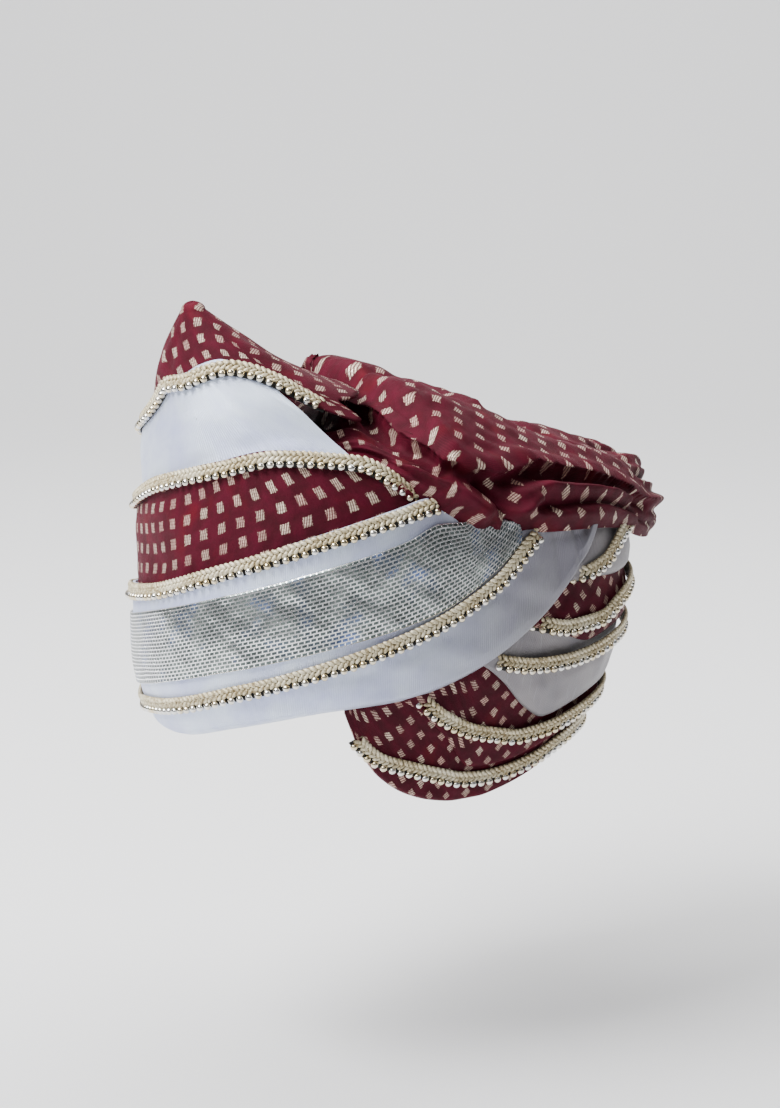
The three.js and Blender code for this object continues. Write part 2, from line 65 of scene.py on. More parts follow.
formColumns = ("height", "centre", "side", "front", "back")
formRows = np.array([
    (-50, 0, 59, 92, 67), (-20, 0, 68, 99, 78), (0, 0, 74, 106, 85), (15, 0, 79, 113, 92),
    (30, 0, 83, 117, 98), (50, 0, 86, 118, 102), (80, 0, 87, 116, 103), (105, -4, 85, 110, 98),
    (125, -22, 76, 91, 75), (145, -52, 57, 59, 32), (155, -71, 45, 40, 21), (165, -86, 33, 24, 15),
    (176, -97, 18, 11, 11), (187, -103, 4, 3, 3)], float)
fanColumns = ("turn", "rim", "lace4", "meshLow", "meshTop", "lace3", "lace2", "lace1")
fanRows = np.array([
    (-125, 88, 93, 94, 95, 96, 98, 102), (-110, 64, 77, 82, 86, 91, 98, 103), (-95, 40, 56, 62, 70, 78, 94, 105),
    (-80, 20, 37, 44, 57, 65, 88, 108), (-60, 9, 24, 31, 47, 55, 86, 113), (-40, 4, 15, 22, 43, 52, 90, 124),
    (-20, 1, 12, 20, 48, 58, 98, 137), (0, 3, 18, 27, 58, 66, 113, 155), (20, 13, 29, 39, 71, 81, 123, 158),
    (40, 22, 42, 50, 84, 95, 129, 162), (60, 26, 54, 60, 95, 105, 126, 164), (70, 30, 61, 66, 101, 108, 109, 162),
    (85, 39, 74, 80, 100, 102, 109, 144), (100, 53, 91, 94, 97, 98, 109, 140),
    (112, 70, 94, 95, 96, 97, 109, 140), (123, 90, 94, 95, 96, 97, 109, 140)], float)
napeColumns = ("side", "rim", "laceA", "laceB", "laceC", "laceD", "laceE")
napeRows = np.array([
    (44, 20, 15, 40, 50, 62, 70), (47, 0, 5, 39, 50, 62, 70), (52, -13, -3, 35, 50, 62, 70),
    (60, -22, -8, 29, 48, 62, 70), (70, -27, -13, 16, 44, 60, 70), (80, -29, -17, 8, 41, 58, 70),
    (90, -29, -18, 4, 37, 56, 70), (100, -27, -17, 1, 34, 52, 70), (112, -23, -14, 2, 33, 48, 70),
    (124, -17, -9, 5, 34, 48, 73), (135, -14, -6, 8, 36, 53, 83), (150, -13, -5, 10, 38, 57, 87),
    (180, -12, -4, 11, 39, 59, 87)], float)
edgeColumns = ("side", "lowB", "lowC", "lowD", "lowE")
edgeRows = np.array([
    (56, 28, 50, 60, 80), (62, 21, 48, 60, 80), (71, 7, 44, 58, 80), (82, -11, 37, 56, 78), (89, -12, 29, 54, 75),
    (100, -11, 14, 50, 70), (110, -8, 7, 45, 68), (122, -4, 10, 39, 67), (135, 0, 13, 41, 65),
    (180, 2, 16, 44, 64)], float)


def along(columns, rows, name, place):  # a smooth curve through the rows of a table, with no overshoot
    x, y = rows[:, 0], rows[:, columns.index(name)]
    width = np.diff(x)
    chord = np.diff(y) / width
    before, after = chord[:-1], chord[1:]
    eased = np.where(before * after > 0, 2 * before * after / np.where(before + after == 0, 1, before + after), 0)
    slope = np.concatenate([chord[:1], eased, chord[-1:]])
    place = np.clip(place, x[0], x[-1])
    i = np.clip(np.searchsorted(x, place, side="right") - 1, 0, len(width) - 1)
    t = (place - x[i]) / width[i]
    return (y[i] * (1 + 2 * t) * (1 - t) ** 2 + y[i + 1] * t * t * (3 - 2 * t)
            + width[i] * (slope[i] * t * (1 - t) ** 2 - slope[i + 1] * t * t * (1 - t)))


def smooth(place, low, high):
    t = np.clip((place - low) / (high - low), 0, 1)
    return t * t * (3 - 2 * t)


def bump(away, spread):
    return np.exp(-((away / spread) ** 2))


formLook = {"fullness": 2.3, "ridge": 0.02, "ridgeTurn": 4, "ridgeSpread": 13}


def formPoint(turn, height):
    angle = np.radians(turn)
    ahead, across = np.cos(angle), np.sin(angle)
    centre, side, front, back = (along(formColumns, formRows, name, height) for name in formColumns[1:])
    full = formLook["fullness"]
    total = np.abs(across / side) ** full + np.abs(ahead / np.where(ahead > 0, front, back)) ** full
    fromRidge = (turn - formLook["ridgeTurn"] + 180) % 360 - 180
    radius = total ** (-1 / full) * (1 + formLook["ridge"] * bump(fromRidge, formLook["ridgeSpread"]))
    return np.stack([radius * across, centre - radius * ahead, height + 0 * turn], -1)


def formNormal(turn, height, step=0.5):
    around = formPoint(turn + step, height) - formPoint(turn - step, height)
    rise = formPoint(turn, height + step) - formPoint(turn, height - step)
    out = np.cross(around, rise)
    return out / np.linalg.norm(out, axis=-1, keepdims=True)


def lifted(turn, height, lift):
    return formPoint(turn, height) + formNormal(turn, height) * np.asarray(lift)[..., None]


def fanAt(name, turn):
    return along(fanColumns, fanRows, name, turn)


# the nape flap sits higher on the far side
farFlap = {"rise": 14, "from": 180, "to": 240, "below": 40, "over": 60}


def farRaised(height, turn):
    past = smooth(turn, farFlap["from"], farFlap["to"])
    return height + farFlap["rise"] * past * np.clip((farFlap["below"] - height) / farFlap["over"], 0, 1)


def napeAt(name, turn):
    table = (napeColumns, napeRows) if name in napeColumns else (edgeColumns, edgeRows)
    return farRaised(along(*table, name, np.where(turn > 180, 360 - turn, turn)), turn)


def ripple(u, v, seed, size, count=9, spread=(0.6, 1.7)):
    rng = np.random.default_rng(seed)
    total = 0
    for _ in range(count):
        turn, phase = rng.uniform(0, 2 * math.pi, 2)
        wave = 2 * math.pi / (size * rng.uniform(*spread))
        total = total + np.sin(wave * (u * math.cos(turn) + v * math.sin(turn)) + phase)
    return total / math.sqrt(count)


def newMaterial(name, **values):
    material = bpy.data.materials.new(name)
    material.use_nodes = True
    shader = material.node_tree.nodes["Principled BSDF"]
    for socket, value in values.items():
        shader.inputs[socket].default_value = value
    return material, material.node_tree, shader


def addNode(tree, kind, inputs=None, **settings):
    made = tree.nodes.new(kind)
    for key, value in settings.items():
        setattr(made, key, value)
    for socket, value in (inputs or {}).items():
        if isinstance(value, bpy.types.NodeSocket):
            tree.links.new(value, made.inputs[socket])
        else:
            made.inputs[socket].default_value = value
    return made


def calc(tree, operation, a, b=0.0, c=0.0):
    return addNode(tree, "ShaderNodeMath", {0: a, 1: b, 2: c}, operation=operation).outputs[0]


def ramp(tree, value, low, high, first=0.0, last=1.0):
    inputs = {"Value": value, "From Min": low, "From Max": high, "To Min": first, "To Max": last}
    return addNode(tree, "ShaderNodeMapRange", inputs, interpolation_type="SMOOTHSTEP").outputs[0]


def mixColour(tree, share, first, second):
    return addNode(tree, "ShaderNodeMix", {0: share, 6: first, 7: second}, data_type="RGBA").outputs[2]


def turnedBy(tree, vector, turn):
    rotation = (0, 0, math.radians(turn))
    return addNode(tree, "ShaderNodeMapping", {"Vector": vector, "Rotation": rotation}).outputs[0]


def clothUv(tree, turn=0.0):
    return turnedBy(tree, addNode(tree, "ShaderNodeTexCoord").outputs["UV"], turn)


def noiseOf(tree, vector, scale, detail=3.0, rough=0.55):
    inputs = {"Vector": vector, "Scale": scale, "Detail": detail, "Roughness": rough}
    return addNode(tree, "ShaderNodeTexNoise", inputs).outputs[0]


def waveOf(tree, vector, wave, turn=0.0):
    x = addNode(tree, "ShaderNodeSeparateXYZ", {0: turnedBy(tree, vector, turn)}).outputs[0]
    return calc(tree, "SINE", calc(tree, "MULTIPLY", x, 2 * math.pi / wave))


def bumpInto(tree, shader, height, distance, strength=1.0, under=None):
    inputs = {"Height": height, "Distance": distance, "Strength": strength}
    if under is not None:
        inputs["Normal"] = under
    made = addNode(tree, "ShaderNodeBump", inputs).outputs[0]
    tree.links.new(made, shader.inputs["Normal"])
    return made


maroonLook = {
    "cloth": (0.066, 0.0018, 0.0115, 1), "deep": (0.030, 0.0010, 0.0045, 1), "warm": (0.100, 0.0022, 0.007, 1),
    "weft": (0.20, 0.02, 0.045, 1), "gold": (0.93, 0.78, 0.62, 1), "rose": (0.74, 0.48, 0.40, 1),
    "roughness": 0.62, "goldRoughness": 0.34, "goldMetal": 0.8, "specular": 0.10, "sheen": 0.05,
    "sheenRoughness": 0.4, "sheenTint": (0.9, 0.15, 0.22, 1), "pitch": (9.3, 9.0), "square": (3.5, 4.3),
    "wander": (2.2, -1.8), "fray": 1.5, "drift": 0.05, "weave": 0.55, "strokes": (1.0, 14), "cross": (1.3, 96)}


def squareMask(tree, place, pitch, square, look):  # woven squares in rows, each a little off its place
    wander = noiseOf(tree, place, 0.035, 2)
    x, y = addNode(tree, "ShaderNodeSeparateXYZ", {0: place}).outputs[:2]
    offX, offY = (calc(tree, "MULTIPLY", calc(tree, "SUBTRACT", wander, 0.5), size) for size in look["wander"])
    cellX = calc(tree, "DIVIDE", calc(tree, "ADD", x, offX), pitch[0])
    cellY = calc(tree, "DIVIDE", calc(tree, "ADD", y, offY), pitch[1])
    corner = {0: calc(tree, "FLOOR", cellX), 1: calc(tree, "FLOOR", cellY)}
    cell = addNode(tree, "ShaderNodeCombineXYZ", corner).outputs[0]
    own = addNode(tree, "ShaderNodeTexWhiteNoise", {"Vector": cell}, noise_dimensions="2D")
    ownTint = addNode(tree, "ShaderNodeSeparateColor", {0: own.outputs["Color"]}).outputs
    rough = calc(tree, "SUBTRACT", noiseOf(tree, place, 1.1, 2), 0.5)
    fray = calc(tree, "MULTIPLY", rough, look["fray"])
    masks = []
    for part, axis in ((cellX, 0), (cellY, 1)):
        size, width, drift = pitch[axis], square[axis], ownTint[axis]
        off = calc(tree, "MULTIPLY", calc(tree, "SUBTRACT", drift, 0.5), look["drift"])
        fromMiddle = calc(tree, "SUBTRACT", calc(tree, "FRACT", part), calc(tree, "ADD", 0.5, off))
        away = calc(tree, "MULTIPLY", calc(tree, "ABSOLUTE", fromMiddle), size)
        masks.append(ramp(tree, calc(tree, "ADD", away, fray), width / 2 - 0.25, width / 2 + 0.3, 1, 0))
    return calc(tree, "MULTIPLY", *masks), ownTint


def maroonMaterial(name, turn=0.0, pitch=None, square=None, look=maroonLook):
    material, tree, shader = newMaterial(name, **{
        "Roughness": look["roughness"], "Specular IOR Level": look["specular"], "Sheen Weight": look["sheen"],
        "Sheen Roughness": look["sheenRoughness"], "Sheen Tint": look["sheenTint"]})
    place = clothUv(tree, turn)
    cloud = noiseOf(tree, place, 0.11, 3)
    inside, ownTint = squareMask(tree, place, pitch or look["pitch"], square or look["square"], look)
    strokes = ramp(tree, waveOf(tree, place, *look["strokes"]), -0.75, 0.2, 0.12, 1)
    cross = ramp(tree, waveOf(tree, place, *look["cross"]), -0.95, -0.2, 0.6, 1)
    threads = calc(tree, "MULTIPLY", calc(tree, "MULTIPLY", strokes, cross), inside)
    worn = ramp(tree, noiseOf(tree, place, 0.5, 2), 0.3, 0.7, 0.7, 1)
    shade = calc(tree, "MULTIPLY", worn, ramp(tree, ownTint[0], 0, 1, 0.62, 1))
    gold = calc(tree, "MULTIPLY", threads, shade)
    weave = calc(tree, "MULTIPLY", waveOf(tree, place, look["weave"]), waveOf(tree, place, look["weave"], 90))
    warmth = ramp(tree, noiseOf(tree, place, 0.06, 2), 0.52, 0.8, 0, 0.7)
    ground = mixColour(tree, ramp(tree, cloud, 0.3, 0.75), look["deep"], look["cloth"])
    ground = mixColour(tree, warmth, ground, look["warm"])
    ground = mixColour(tree, ramp(tree, weave, -1, 1, 0, 0.16), ground, look["weft"])
    zari = mixColour(tree, ownTint[2], look["gold"], look["rose"])
    tree.links.new(mixColour(tree, gold, ground, zari), shader.inputs["Base Color"])
    tree.links.new(calc(tree, "MULTIPLY", gold, look["goldMetal"]), shader.inputs["Metallic"])
    roughness = ramp(tree, gold, 0, 1, look["roughness"], look["goldRoughness"])
    tree.links.new(roughness, shader.inputs["Roughness"])
    crumple = bumpInto(tree, shader, cloud, 1.4 * mm, 0.5)
    raised = calc(tree, "ADD", calc(tree, "MULTIPLY", weave, 0.18), gold)
    bumpInto(tree, shader, raised, 0.35 * mm, 0.8, crumple)
    return material


# the last grey of this finish and its share are painted shade, which the outer silver band takes on towards the
# nape
satinFinish = {"roughness": 0.42, "metal": 0.45, "sheen": 0.25, "anisotropic": 0.4, "rib": 0.95, "weave": 0.5,
               "slub": (0.75, 0.8, 0.95, 1), "paintedShadeGrey": (0.20, 0.18, 0.19, 1), "paintedShadeShare": 0.85}
silverLook = {"light": (0.74, 0.84, 1.0, 1), "shade": (0.50, 0.55, 0.84, 1), "speck": (0.10, 0.09, 0.12, 1)}
# the nape satin is the silver made darker and greyer: painted shade for the shade that falls on the nape
napeSilverPaintedShadeLook = {"light": (0.27, 0.25, 0.26, 1), "shade": (0.20, 0.19, 0.21, 1), "speck": (0.08, 0.07, 0.08, 1)}


def satinMaterial(name, look, ribTurn=0.0, paintedShadeSpan=None, finish=satinFinish):
    material, tree, shader = newMaterial(name, **{
        "Roughness": finish["roughness"], "Metallic": finish["metal"], "Sheen Weight": finish["sheen"],
        "Anisotropic": finish["anisotropic"]})
    place = clothUv(tree)
    cloud = noiseOf(tree, place, 0.045, 4)
    rib = waveOf(tree, place, finish["rib"], ribTurn)
    oneWay, otherWay = (waveOf(tree, place, finish["weave"], turn) for turn in (45, -45))
    fine = calc(tree, "MULTIPLY", oneWay, otherWay)
    stretched = addNode(tree, "ShaderNodeMapping", {"Vector": place, "Scale": (1, 0.06, 1)}).outputs[0]
    slub = noiseOf(tree, stretched, 0.9, 2)
    colour = mixColour(tree, ramp(tree, cloud, 0.25, 0.7), look["shade"], look["light"])
    colour = mixColour(tree, ramp(tree, rib, -1, 1, 0, 0.14), colour, look["shade"])
    colour = mixColour(tree, ramp(tree, slub, 0.6, 0.85, 0, 0.25), colour, finish["slub"])
    # painted shade: the band is painted darker and greyer along its length towards the nape, where less light
    # falls
    if paintedShadeSpan:  # greyer from the first to the second length along the cloth
        alongCloth = addNode(tree, "ShaderNodeSeparateXYZ", {0: place}).outputs[0]
        share = ramp(tree, alongCloth, paintedShadeSpan[0], paintedShadeSpan[1], 0, finish["paintedShadeShare"])
        colour = mixColour(tree, share, colour, finish["paintedShadeGrey"])
    speck = ramp(tree, noiseOf(tree, place, 0.32, 1), 0.78, 0.82, 0, 0.5)
    tree.links.new(mixColour(tree, speck, colour, look["speck"]), shader.inputs["Base Color"])
    tree.links.new(ramp(tree, cloud, 0.2, 0.8, 0.5, 0.34), shader.inputs["Roughness"])
    soft = bumpInto(tree, shader, cloud, 1.6 * mm, 0.35)
    raised = calc(tree, "ADD", calc(tree, "MULTIPLY", rib, 0.5), calc(tree, "MULTIPLY", fine, 0.4))
    bumpInto(tree, shader, calc(tree, "ADD", raised, slub), 0.12 * mm, 0.8, soft)
    return material


# the two hole colours are partly the darker cloth under the net and partly painted shade inside the holes
meshLook = {
    "cell": 3.0, "row": 2.0, "wire": 0.36, "metal": 0.95, "roughness": 0.3, "bright": (0.92, 0.93, 0.95, 1),
    "shadedHole": (0.05, 0.06, 0.06, 1), "paleShadedHole": (0.08, 0.10, 0.10, 1), "grey": (0.30, 0.36, 0.34, 1),
    "blue": (0.22, 0.34, 0.85, 1)}


def meshMaterial(name, look=meshLook):
    material, tree, shader = newMaterial(name, Metallic=look["metal"], Roughness=look["roughness"])
    place = clothUv(tree)
    bricks = addNode(tree, "ShaderNodeTexBrick", {
        "Vector": place, "Color1": look["shadedHole"], "Color2": look["paleShadedHole"], "Mortar": look["bright"],
        "Scale": 1.0, "Mortar Size": look["wire"], "Mortar Smooth": 0.25, "Brick Width": look["cell"],
        "Row Height": look["row"]})
    # painted reflection: noise patches lift the dark holes towards grey and blue reflections
    tint = ramp(tree, noiseOf(tree, place, 0.05, 2), 0.5, 0.72)
    glint = ramp(tree, noiseOf(tree, place, 0.06, 2), 0.4, 0.7, 0.1, 0.6)
    paintedReflection = mixColour(tree, tint, look["grey"], look["blue"])
    cells = mixColour(tree, glint, bricks.outputs["Color"], paintedReflection)
    wire = bricks.outputs["Fac"]
    tree.links.new(mixColour(tree, wire, cells, look["bright"]), shader.inputs["Base Color"])
    tree.links.new(ramp(tree, wire, 0, 1, 0.42, 0.2), shader.inputs["Roughness"])
    wavy = bumpInto(tree, shader, noiseOf(tree, place, 0.06, 2), 1.5 * mm, 0.6)
    bumpInto(tree, shader, wire, 0.45 * mm, 1.0, wavy)
    return material


braidLook = {"dark": (0.30, 0.23, 0.12, 1), "light": (0.72, 0.64, 0.44, 1), "pale": (0.86, 0.82, 0.66, 1),
             "roughness": 0.48, "metal": 0.3}


def braidMaterial(name, look=braidLook):
    material, tree, shader = newMaterial(name, Roughness=look["roughness"], Metallic=look["metal"])
    place = addNode(tree, "ShaderNodeTexCoord").outputs["Object"]
    strand = noiseOf(tree, place, 900, 2)
    shade = noiseOf(tree, place, 60, 2)
    colour = mixColour(tree, ramp(tree, strand, 0.35, 0.65), look["dark"], look["light"])
    colour = mixColour(tree, ramp(tree, shade, 0.4, 0.75, 0, 0.5), colour, look["pale"])
    tree.links.new(colour, shader.inputs["Base Color"])
    bumpInto(tree, shader, strand, 0.25 * mm, 0.8)
    return material


beadLook = {"gold": (0.72, 0.62, 0.42, 1), "silver": (0.80, 0.80, 0.78, 1), "roughness": 0.16, "metal": 1.0}


def beadMaterial(name, look=beadLook):
    material, tree, shader = newMaterial(name, Roughness=look["roughness"], Metallic=look["metal"])
    place = addNode(tree, "ShaderNodeTexCoord").outputs["Object"]
    tint = mixColour(tree, ramp(tree, noiseOf(tree, place, 160, 1), 0.35, 0.65), look["gold"], look["silver"])
    tree.links.new(tint, shader.inputs["Base Color"])
    tree.links.new(ramp(tree, noiseOf(tree, place, 700, 1), 0.4, 0.6, 0.1, 0.26), shader.inputs["Roughness"])
    return material


# the near-black by the beads is painted shadow under and between the beads, with their dark thread
tapeLook = {"dark": (0.10, 0.075, 0.045, 1), "light": (0.34, 0.28, 0.17, 1), "paintedBeadShade": (0.012, 0.011, 0.010, 1),
            "roughness": 0.7, "metal": 0.15, "beadEdge": (2.3, 3.1)}


def tapeMaterial(name, look=tapeLook):
    material, tree, shader = newMaterial(name, Roughness=look["roughness"], Metallic=look["metal"])
    place = clothUv(tree)
    weave = calc(tree, "MULTIPLY", waveOf(tree, place, 0.7), waveOf(tree, place, 0.9, 90))
    across = addNode(tree, "ShaderNodeSeparateXYZ", {0: place}).outputs[1]
    threads = mixColour(tree, ramp(tree, weave, -1, 1), look["dark"], look["light"])
    # below the bead edge the tape is painted near-black: painted shadow of the beads, with their dark thread
    colour = mixColour(tree, ramp(tree, across, *look["beadEdge"]), look["paintedBeadShade"], threads)
    tree.links.new(colour, shader.inputs["Base Color"])
    bumpInto(tree, shader, weave, 0.15 * mm, 0.8)
    return material


maroonBand = maroonMaterial("maroonBandCloth")
maroonPeak = maroonMaterial("maroonPeakCloth", pitch=(9.0, 8.2), square=(3.3, 3.9))
maroonBias = maroonMaterial("maroonBiasCloth", turn=42, pitch=(8.6, 8.6), square=(3.3, 3.5))
maroonRoll = maroonMaterial("maroonRollCloth", turn=28, pitch=(10.4, 10.4), square=(3.6, 3.9))
satin = satinMaterial("silverSatin", silverLook)
# the outer silver band's material is painted greyer towards the nape as painted shade
satinOuterPaintedShade = satinMaterial("silverSatinOuterPaintedShade", silverLook, paintedShadeSpan=(300, 430))
# this nape satin material carries painted shade
satinNapePaintedShade = satinMaterial("silverSatinNapePaintedShade", napeSilverPaintedShadeLook, ribTurn=20)
meshCloth = meshMaterial("silverMesh")
braidThread = braidMaterial("braidThread")
beadMetal = beadMaterial("beadMetal")
tapeCloth = tapeMaterial("laceTape")
print("materials made")


def clothPiece(name, columns, rows, place, uvPlace, thickness, material):
    bpy.ops.object.select_all(action="DESELECT")
    bpy.ops.mesh.primitive_grid_add(x_subdivisions=columns, y_subdivisions=rows, size=1, calc_uvs=True)
    piece = bpy.context.object
    piece.name = piece.data.name = name
    flat = np.empty(len(piece.data.vertices) * 3)
    piece.data.vertices.foreach_get("co", flat)
    s, t = flat[0::3] + 0.5, flat[1::3] + 0.5
    piece.data.vertices.foreach_set("co", (place(s, t) * mm).ravel())
    corner = np.empty(len(piece.data.loops), int)
    piece.data.loops.foreach_get("vertex_index", corner)
    uv = uvPlace(s, t)
    piece.data.uv_layers[0].data.foreach_set("uv", uv[corner].ravel())
    piece.data.update()
    wall = piece.modifiers.new("wall", "SOLIDIFY")
    wall.thickness, wall.offset = thickness * mm, -1
    bpy.ops.object.modifier_apply(modifier=wall.name)
    bpy.ops.object.shade_smooth()
    piece.data.materials.append(material)
    return piece


def measuredUv(place, middleS, middleT):  # millimetres measured over the placed cloth
    def uv(s, t):
        across, down = np.unique(s.round(5)), np.unique(t.round(5))
        column, row = np.meshgrid(across, down)
        net = place(column.ravel(), row.ravel()).reshape(len(down), len(across), 3)
        u = np.cumsum(np.linalg.norm(np.diff(net, axis=1, prepend=net[:, :1]), axis=2), axis=1)
        v = np.cumsum(np.linalg.norm(np.diff(net, axis=0, prepend=net[:1]), axis=2), axis=0)
        u = u - u[:, [np.abs(across - middleS).argmin()]]
        v = v - v[[np.abs(down - middleT).argmin()]]
        i, j = np.abs(s[:, None] - across).argmin(1), np.abs(t[:, None] - down).argmin(1)
        return np.stack([u[j, i], v[j, i]], -1)
    return uv


def finishCloth(piece, node, slotName, flat, held, restsOn):
    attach(piece, "root")
    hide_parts(node)
    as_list(restsOn)


def lengthAlong(start, end, lineAt, count=400):
    places = np.linspace(start, end, count)
    line = lineAt(places)
    steps = np.concatenate([[0], np.cumsum(np.linalg.norm(np.diff(line, axis=0), axis=1))])
    return places, steps


lapLift = 2.2  # how far a lapped edge stands out over the cloth below
laceEdge = 3.5  # how far a band runs past the line of its upper lace, and keeps flat beside a lace
lapDepth = 8.0  # how deep a cloth runs under or over the next one
clothLift, clothWall = 1.45, 1.2
clothSlope = 1.03  # cloth to a millimetre of height on the leaning form
peakDress = {"apex": 186.2, "tip": 3.4, "tipAt": (0, -103, 0), "backEdge": 150.5, "lift": 1.4, "domeFrom": 0.92,
             "domeSpan": 0.08, "fullness": 0.8, "wave": 0.35, "seed": 3, "rippleSize": 26, "weld": 0.00002,
             "patternMiddle": 0.61, "patternTip": 6, "detail": (200, 90)}


def peakPlace(s, t, dress=peakDress):
    turn = -180 + 360 * s
    nearLace = smooth(turn, -72, -60) * (1 - smooth(turn, 77, 90))
    low = nearLace * (fanAt("lace1", turn) - lapDepth) + (1 - nearLace) * dress["backEdge"]
    dome = np.clip((t - dress["domeFrom"]) / dress["domeSpan"], 0, 1) * math.pi / 2
    height = low + (dress["apex"] - low) * np.minimum(t / dress["domeFrom"], 1) ** dress["fullness"]
    waves = dress["wave"] * ripple(turn * 0.9, height, dress["seed"], dress["rippleSize"])
    relief = waves * smooth(height, 140, 150) * (1 - smooth(height, 172, 184))
    point = lifted(turn, height, dress["lift"] + relief)
    across = (point - np.array(dress["tipAt"])) * np.array([1, 1, 0])
    point = point - across * (1 - np.cos(dome))[:, None]
    point[:, 2] += dress["tip"] * np.sin(dome)
    return point


def peakUv(s, t):  # the peak rolled out flat like a cone
    measured = measuredUv(peakPlace, peakDress["patternMiddle"], 1.0)(s, t)
    fromTip = np.maximum(-measured[:, 1], 0.5)
    turned = measured[:, 0] / np.maximum(fromTip, peakDress["patternTip"])
    return np.stack([fromTip * np.sin(turned), -fromTip * np.cos(turned)], -1)


def makePeak():
    piece = clothPiece("peakCloth", *peakDress["detail"], peakPlace, peakUv, clothWall, maroonPeak)
    bpy.ops.object.mode_set(mode="EDIT")
    bpy.ops.mesh.select_all(action="SELECT")
    bpy.ops.mesh.remove_doubles(threshold=peakDress["weld"])
    bpy.ops.object.mode_set(mode="OBJECT")
    return piece


def bandPiece(name, dress, lowAt, highAt, liftAt, material, baseAt=None, uvAt=None):
    start, end = dress["turns"]
    slant, slantTurn = dress.get("slant", (0.0, 60))

    def turnHeight(s, t):
        turn = start + (end - start) * s
        turn = turn + slant * np.maximum(0, turn / slantTurn) ** 2 * t ** 3
        low, high = lowAt(turn), highAt(turn)
        return turn, low + (high - low) * t

    def place(s, t):
        turn, height = turnHeight(s, t)
        return lifted(turn, height, liftAt(turn, height))

    middles, lengths = lengthAlong(start, end, lambda turn: formPoint(turn, (lowAt(turn) + highAt(turn)) / 2))

    def uv(s, t):
        turn, height = turnHeight(s, t)
        if uvAt:
            return uvAt(turn, t)
        base = baseAt(turn) if baseAt else lowAt(turn)
        return np.stack([np.interp(turn, middles, lengths), (height - base) * clothSlope], -1)

    return clothPiece(name, *dress["detail"], place, uv, dress.get("wall", clothWall), material)


def fanLap(upper, above, room=None, share=0.3):
    def lap(turn):
        reach = share * (fanAt(above, turn) - fanAt(upper, turn))
        if room:
            reach = np.minimum(reach, (fanAt(upper, turn) - fanAt(room, turn)) / 2 - laceEdge)
        return np.minimum(lapDepth, reach)
    return lap


silverLap, maroonLap = fanLap("lace2", "lace1", "lace3"), fanLap("lace3", "lace2")


def fanLift(lower, upper, upperLap, dress):
    def lift(turn, height):
        flatTo = fanAt(lower, turn) + laceEdge + 1
        lappedFrom = np.maximum(flatTo + 1, fanAt(upper, turn) - upperLap(turn) - 1)
        clearOfLaces = smooth(height, flatTo, flatTo + 6) * (1 - smooth(height, lappedFrom - 4, lappedFrom + 3))
        waves = dress["wave"] * ripple(turn * 1.7, height * 1.1, dress["seed"], dress["rippleSize"])
        return clothLift + lapLift * smooth(height, flatTo, lappedFrom) + waves * clearOfLaces
    return lift


peak = makePeak()

silverDress = {"turns": (-88, 60), "slant": (18, 60), "wave": 0.45, "seed": 5, "rippleSize": 42,
               "detail": (240, 70)}
silver = bandPiece("silverCloth", silverDress, lambda a: fanAt("lace2", a) - silverLap(a),
                   lambda a: fanAt("lace1", a) + laceEdge,
                   fanLift("lace2", "lace1", lambda a: lapDepth + 0 * a, silverDress), satin)

maroonDress = {"turns": (-102, 66), "wave": 0.4, "seed": 7, "rippleSize": 34, "patternFrom": 6,
               "detail": (260, 60)}
maroon = bandPiece("maroonCloth", maroonDress, lambda a: fanAt("lace3", a) - maroonLap(a),
                   lambda a: fanAt("lace2", a) + laceEdge,
                   fanLift("lace3", "lace2", silverLap, maroonDress), maroonBand,
                   baseAt=lambda a: fanAt("lace3", a) + maroonDress["patternFrom"])

outerDress = {"turns": (-124, 122), "rimLift": 4.7, "lift": 1.5, "wave": 0.3, "seed": 11, "rippleSize": 24,
              "hem": 3.6, "hemHigh": 5.0, "detail": (340, 90)}
# turn, depth, spread, low and high end
outerCreases = ((113.5, 1.3, 1.1, 68, 82), (106, 0.8, 1.6, 62, 80))


def outerLift(turn, height):
    start = fanAt("rim", turn) + lapDepth
    end = np.maximum(start + 1, fanAt("lace3", turn) - lapDepth - 1)
    share = np.clip((height - start) / (end - start), 0, 1)
    return outerDress["rimLift"] + (lapLift - outerDress["rimLift"]) * share


def outerDressed(turn, height, dress=outerDress):
    rim, lace4 = fanAt("rim", turn), fanAt("lace4", turn)
    margin = smooth(height, rim + 3, rim + 9) * (1 - smooth(height, lace4 - 9, lace4 - 4))
    waves = dress["wave"] * margin * ripple(turn * 1.7, height * 1.6, dress["seed"], dress["rippleSize"])
    hem = dress["hem"] * (1 - smooth(height, rim - 0.5, rim + dress["hemHigh"])) ** 2
    crease = 0
    for middle, deep, spread, low, high in outerCreases:
        crease = crease + deep * bump(turn - middle, spread) * smooth(height, low, high)
    return outerLift(turn, height) + dress["lift"] + waves - hem - crease


outer = bandPiece("frontSilverCloth", outerDress, lambda a: fanAt("rim", a),
                  lambda a: fanAt("lace3", a) + laceEdge, outerDressed, satinOuterPaintedShade)

ribbonDress = {"turns": (-98, 94), "lift": 2.75, "wave": 0.12, "seed": 21, "rippleSize": 14, "wall": 0.9,
               "fullWidth": 40, "cellRange": (0.72, 1.25), "detail": (280, 24)}


def ribbonLift(turn, height, dress=ribbonDress):
    waves = dress["wave"] * ripple(turn * 1.7, height, dress["seed"], dress["rippleSize"])
    return outerLift(turn, height) + dress["lift"] + waves


